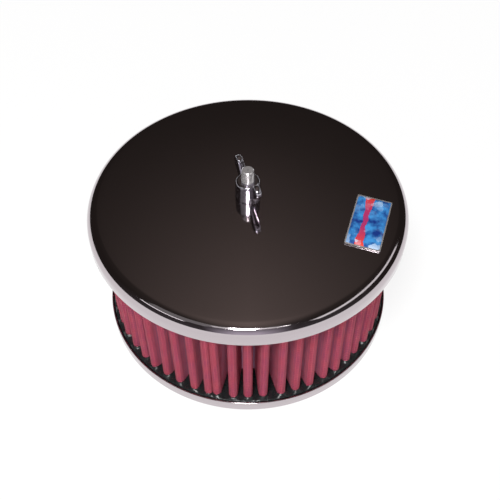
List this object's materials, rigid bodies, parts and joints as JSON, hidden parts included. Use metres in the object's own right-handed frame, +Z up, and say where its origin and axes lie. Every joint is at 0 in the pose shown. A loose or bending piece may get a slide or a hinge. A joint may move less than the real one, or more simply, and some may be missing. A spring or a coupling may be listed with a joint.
{
  "type": "performance air filter",
  "caption": "Round carburettor air filter: chromed crowned lid and base pan clamped on a red pleated gauze element by a wing nut on a central stud.",
  "frame": {"origin": "centre of the base plate's underside, on the stud's axis", "axes": "+Z up the stud towards the wing nut; -Y is the side the picture is taken from, +X to its right"},
  "size_m": [0.162, 0.162, 0.0977],
  "materials": {
    "chrome_plate": "polished",
    "zinc_steel": "bright zinc plated",
    "oiled_gauze": "oiled cotton gauze under fine wire screen",
    "potting_urethane": "glossy moulded",
    "neck_rubber": "matt moulded",
    "badge_resin": "domed clear resin over print"
  },
  "bodies": {
    "filter_body": {"lid": "chrome_plate", "badge_plate": "badge_resin", "filter_media": "oiled_gauze", "top_seal": "potting_urethane", "bottom_seal": "potting_urethane", "base_plate": "chrome_plate", "neck_seal": "neck_rubber", "stud_bridge": "zinc_steel", "weld_nut": "zinc_steel", "lock_nut": "zinc_steel", "stud": "zinc_steel"},
    "wing_nut": {"wing_nut": "chrome_plate"}
  },
  "joints": [
    {"name": "nut_turn", "type": "hinge", "parent": "filter_body", "child": "wing_nut", "pos_m": [0, 0, 0.085], "axis": [0, 0, 1], "continuous": true}
  ]
}
